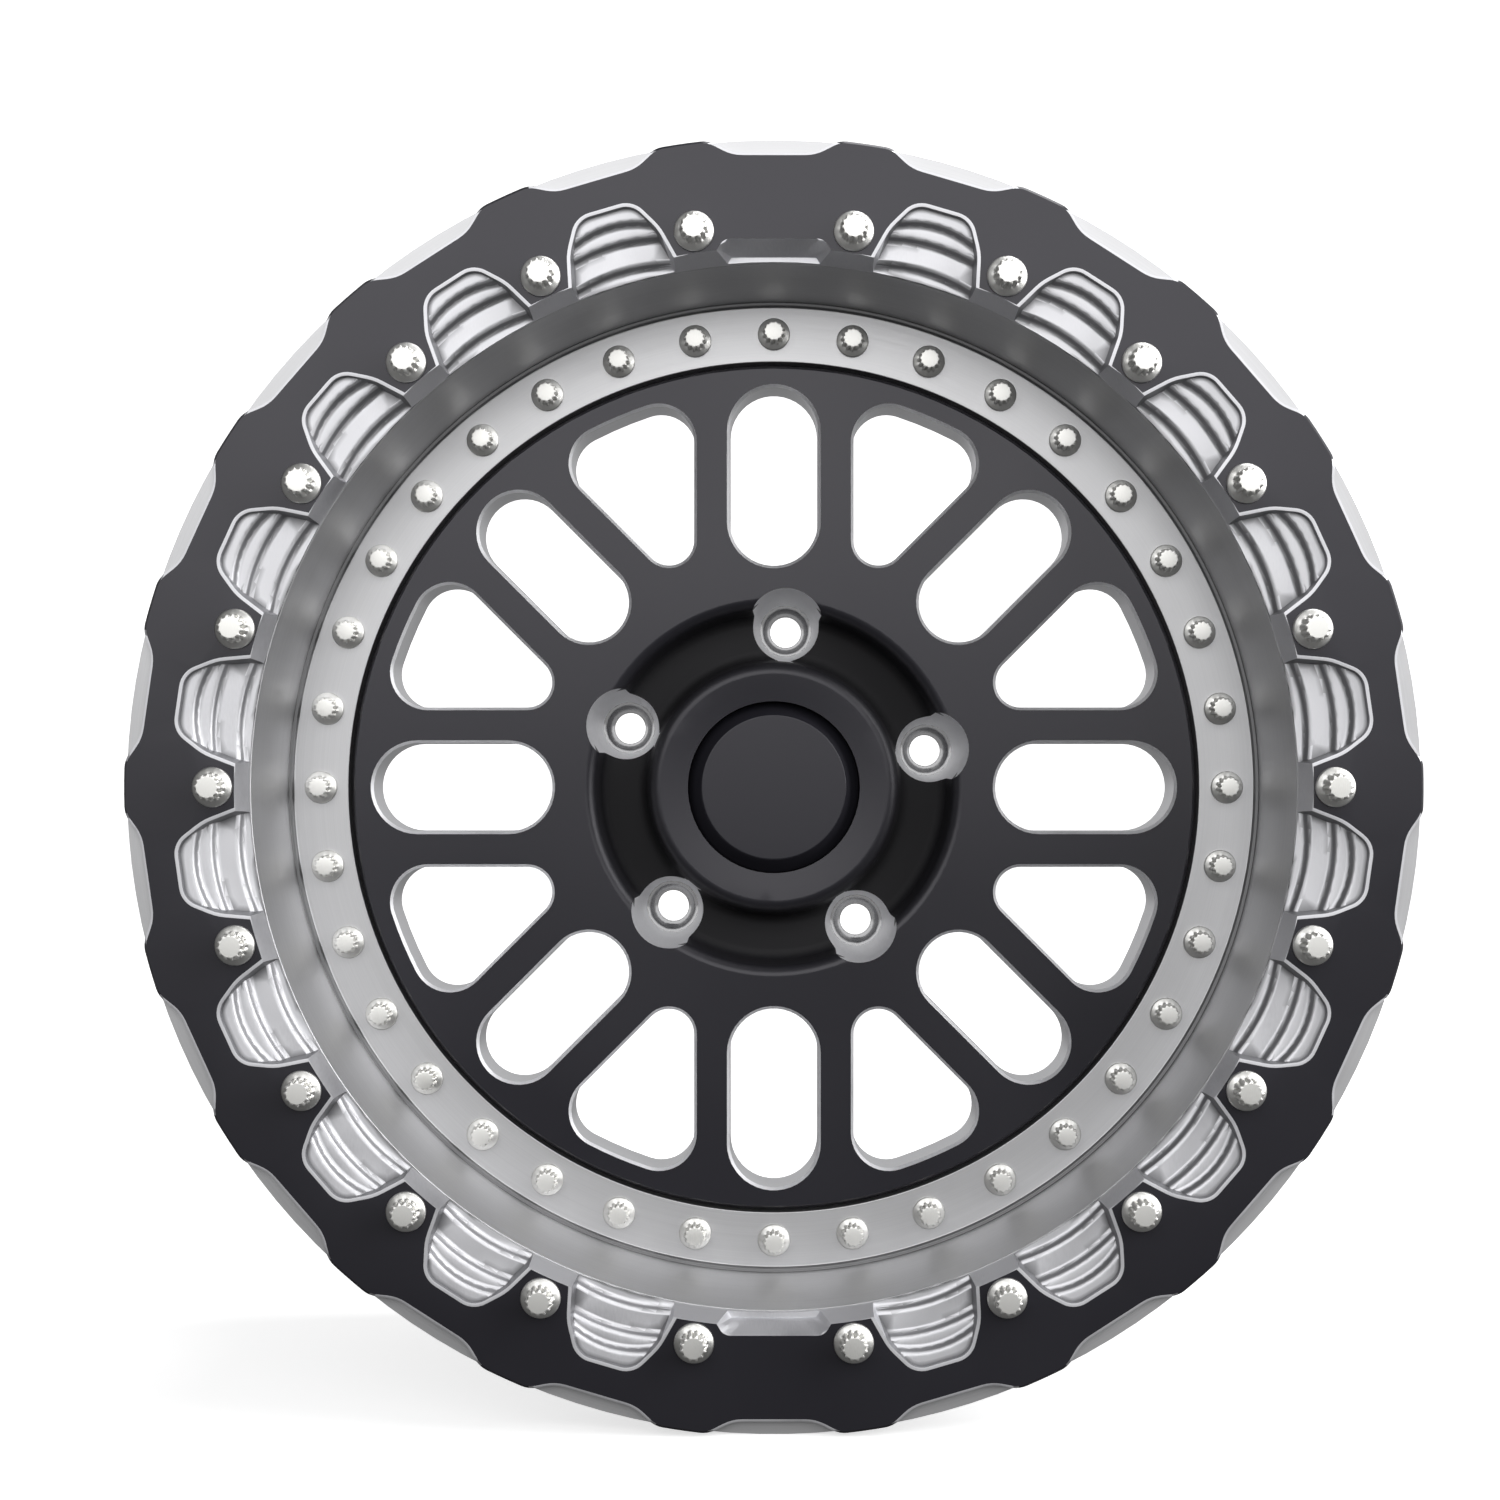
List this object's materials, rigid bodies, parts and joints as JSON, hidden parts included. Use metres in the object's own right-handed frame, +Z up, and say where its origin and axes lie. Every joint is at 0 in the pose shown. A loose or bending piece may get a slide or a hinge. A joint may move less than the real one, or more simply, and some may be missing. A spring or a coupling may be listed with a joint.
{
  "type": "beadlock wheel",
  "caption": "Multi-piece off-road wheel: lobed clamp ring bolted to a dished lip, slotted centre disc with lug holes and cap, and a drop-centre inner barrel.",
  "frame": {"origin": "on the spin axis, at the centre of the hub mounting face", "axes": "+Y along the spin axis towards the vehicle, so the face looks along -Y; +Z up, +X to the right as seen from the front"},
  "size_m": [0.4826, 0.2515, 0.4826],
  "materials": {
    "black_face": "satin",
    "bare_alloy": "satin",
    "plated_steel": "polished",
    "sealant": "matte",
    "rubber": "matte",
    "brass": "satin",
    "black_plastic": "matte"
  },
  "bodies": {
    "root": {"beadlock_ring": "black_face", "beadlock_bolts": "plated_steel", "outer_barrel": "bare_alloy", "barrel_seal": "sealant", "inner_barrel": "bare_alloy", "centre_disc": "black_face", "assembly_bolts": "plated_steel", "assembly_nuts": "plated_steel", "centre_cap": "black_face", "cap_seal": "rubber", "valve_stem": "brass", "valve_grommet": "rubber", "valve_washer": "plated_steel", "valve_nut": "brass", "valve_core": "brass", "valve_cap": "black_plastic"}
  },
  "joints": []
}
